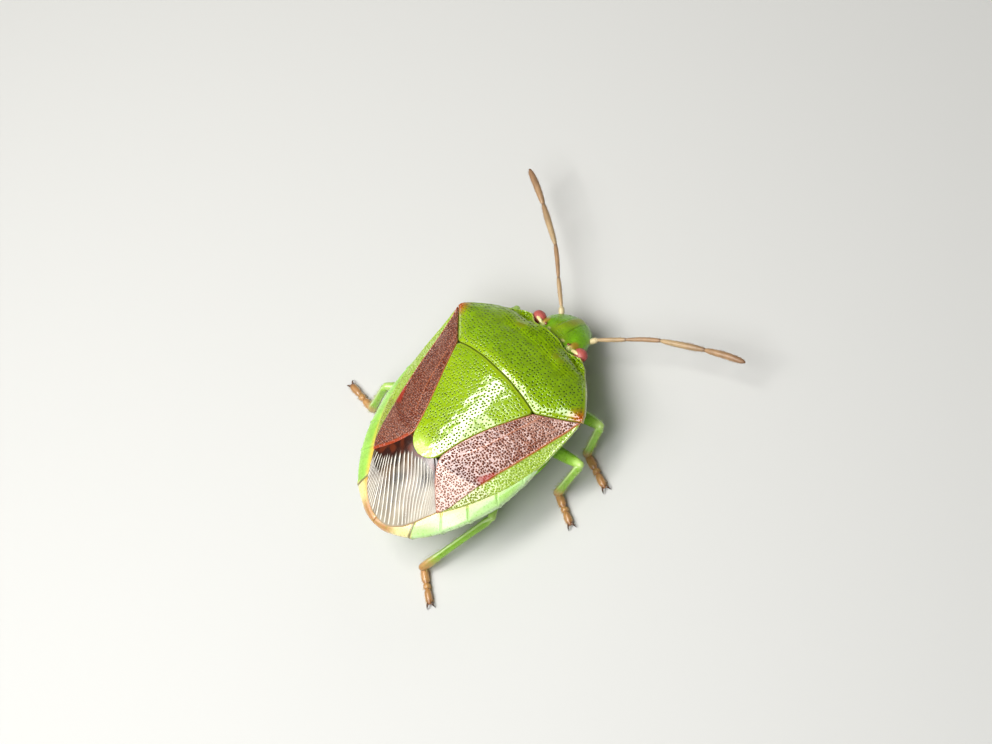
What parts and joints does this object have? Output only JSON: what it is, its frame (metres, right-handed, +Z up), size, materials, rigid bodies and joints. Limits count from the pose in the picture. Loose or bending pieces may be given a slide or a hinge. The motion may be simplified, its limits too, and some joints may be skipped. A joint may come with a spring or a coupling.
{
  "type": "green shield bug",
  "caption": "Life-size still model of a green shield bug with reddish-brown forewings, standing on its feet with feelers held forward.",
  "frame": {"origin": "on the floor, under the middle of the whole outline", "axes": "+Y forward along the body to the head, +X to the bug's right, +Z up from the floor"},
  "size_m": [0.014, 0.017, 0.0046],
  "materials": {
    "head": "smooth green cuticle with an olive-brown midline",
    "rostrum": "amber cuticle",
    "shield": "glossy yellow-green cuticle with fine dark pits",
    "corium": "reddish-brown leathery wing with pale network and dark pits",
    "membrane": "clear smoky wing membrane with pale veins",
    "connexivum": "bright green cuticle with a yellow inner border",
    "underside": "pale green cuticle",
    "eye": "dull red faceted eye",
    "antenna": "tan cuticle with fine hairs",
    "leg": "green cuticle",
    "foot": "orange-brown cuticle"
  },
  "bodies": {
    "root": {"abdomen": "underside", "antenna_left_1": "antenna", "antenna_left_2": "antenna", "antenna_left_3": "antenna", "antenna_left_4": "antenna", "antenna_left_5": "antenna", "antenna_right_1": "antenna", "antenna_right_2": "antenna", "antenna_right_3": "antenna", "antenna_right_4": "antenna", "antenna_right_5": "antenna", "connexivum_left": "connexivum", "connexivum_right": "connexivum", "corium_left": "corium", "corium_right": "corium", "eye_left": "eye", "eye_right": "eye", "femur_front_left": "leg", "femur_front_right": "leg", "femur_hind_left": "leg", "femur_hind_right": "leg", "femur_mid_left": "leg", "femur_mid_right": "leg", "head": "head", "membrane_left": "membrane", "membrane_right": "membrane", "pronotum": "shield", "rostrum": "rostrum", "scutellum": "shield", "tarsus_front_left": "foot", "tarsus_front_right": "foot", "tarsus_hind_left": "foot", "tarsus_hind_right": "foot", "tarsus_mid_left": "foot", "tarsus_mid_right": "foot", "thorax": "underside", "tibia_front_left": "leg", "tibia_front_right": "leg", "tibia_hind_left": "leg", "tibia_hind_right": "leg", "tibia_mid_left": "leg", "tibia_mid_right": "leg"}
  },
  "joints": []
}
